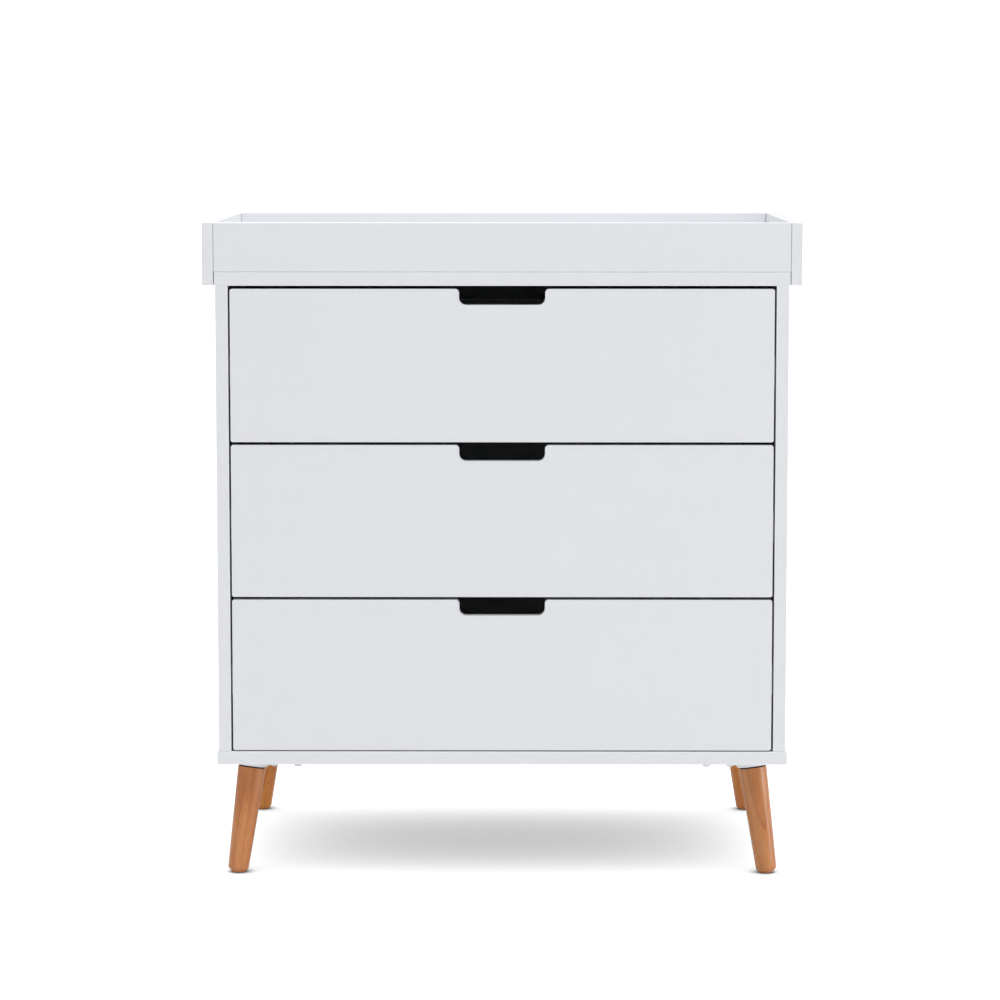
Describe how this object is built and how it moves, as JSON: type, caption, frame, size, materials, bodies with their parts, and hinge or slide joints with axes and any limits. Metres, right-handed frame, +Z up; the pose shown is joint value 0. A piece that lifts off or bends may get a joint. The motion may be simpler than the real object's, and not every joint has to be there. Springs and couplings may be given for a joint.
{
  "type": "changing table",
  "caption": "White nursery changing table: a chest of inset drawers on side runners with finger cut-outs, splayed round beech legs and an open lift-off changing tray on top.",
  "frame": {"origin": "on the floor under the middle of the table", "axes": "+X to the right as seen from the front, +Y from the drawer fronts to the back panel, +Z up"},
  "size_m": [0.8, 0.5, 0.885],
  "materials": {
    "white_board": "satin white melamine-faced board with matching edge band",
    "beech": "turned solid beech, warm clear satin varnish",
    "white_plastic": "moulded, fine matt texture",
    "zinc_steel": "bright zinc plated, rolled"
  },
  "bodies": {
    "cabinet": {"top_panel": "white_board", "base_panel": "white_board", "left_side_panel": "white_board", "right_side_panel": "white_board", "back_panel": "white_board", "front_left_leg": "beech", "front_left_leg_block": "white_plastic", "front_left_leg_bolt": "zinc_steel", "front_right_leg": "beech", "front_right_leg_block": "white_plastic", "front_right_leg_bolt": "zinc_steel", "rear_left_leg": "beech", "rear_left_leg_block": "white_plastic", "rear_left_leg_bolt": "zinc_steel", "rear_right_leg": "beech", "rear_right_leg_block": "white_plastic", "rear_right_leg_bolt": "zinc_steel", "bottom_left_runner_outer": "zinc_steel", "bottom_right_runner_outer": "zinc_steel", "middle_left_runner_outer": "zinc_steel", "middle_right_runner_outer": "zinc_steel", "top_left_runner_outer": "zinc_steel", "top_right_runner_outer": "zinc_steel"},
    "bottom_drawer": {"bottom_drawer_front": "white_board", "bottom_drawer_left_side": "white_board", "bottom_drawer_right_side": "white_board", "bottom_drawer_back": "white_board", "bottom_drawer_bottom": "white_board", "bottom_left_runner_inner": "zinc_steel", "bottom_right_runner_inner": "zinc_steel"},
    "bottom_runner_slides": {"bottom_left_runner_slide": "zinc_steel", "bottom_right_runner_slide": "zinc_steel"},
    "middle_drawer": {"middle_drawer_front": "white_board", "middle_drawer_left_side": "white_board", "middle_drawer_right_side": "white_board", "middle_drawer_back": "white_board", "middle_drawer_bottom": "white_board", "middle_left_runner_inner": "zinc_steel", "middle_right_runner_inner": "zinc_steel"},
    "middle_runner_slides": {"middle_left_runner_slide": "zinc_steel", "middle_right_runner_slide": "zinc_steel"},
    "top_drawer": {"top_drawer_front": "white_board", "top_drawer_left_side": "white_board", "top_drawer_right_side": "white_board", "top_drawer_back": "white_board", "top_drawer_bottom": "white_board", "top_left_runner_inner": "zinc_steel", "top_right_runner_inner": "zinc_steel"},
    "top_runner_slides": {"top_left_runner_slide": "zinc_steel", "top_right_runner_slide": "zinc_steel"},
    "tray": {"tray_left_board": "white_board", "tray_right_board": "white_board", "tray_front_board": "white_board", "tray_back_board": "white_board", "tray_bracket_left": "zinc_steel", "tray_bracket_right": "zinc_steel"}
  },
  "joints": [
    {"name": "bottom_drawer_slide", "type": "slide", "parent": "cabinet", "child": "bottom_drawer", "axis": [0, -1, 0], "range_m": [0, 0.44]},
    {"name": "bottom_runner_slide", "type": "slide", "parent": "cabinet", "child": "bottom_runner_slides", "axis": [0, -1, 0], "range_m": [0, 0.22]},
    {"name": "middle_drawer_slide", "type": "slide", "parent": "cabinet", "child": "middle_drawer", "axis": [0, -1, 0], "range_m": [0, 0.44]},
    {"name": "middle_runner_slide", "type": "slide", "parent": "cabinet", "child": "middle_runner_slides", "axis": [0, -1, 0], "range_m": [0, 0.22]},
    {"name": "top_drawer_slide", "type": "slide", "parent": "cabinet", "child": "top_drawer", "axis": [0, -1, 0], "range_m": [0, 0.44]},
    {"name": "top_runner_slide", "type": "slide", "parent": "cabinet", "child": "top_runner_slides", "axis": [0, -1, 0], "range_m": [0, 0.22]},
    {"name": "tray_lift", "type": "slide", "parent": "cabinet", "child": "tray", "axis": [0, 0, 1], "range_m": [0, 0.12]}
  ],
  "couplings": [
    {"joint": "bottom_runner_slide", "follows": "bottom_drawer_slide", "ratio": 0.5},
    {"joint": "middle_runner_slide", "follows": "middle_drawer_slide", "ratio": 0.5},
    {"joint": "top_runner_slide", "follows": "top_drawer_slide", "ratio": 0.5}
  ]
}
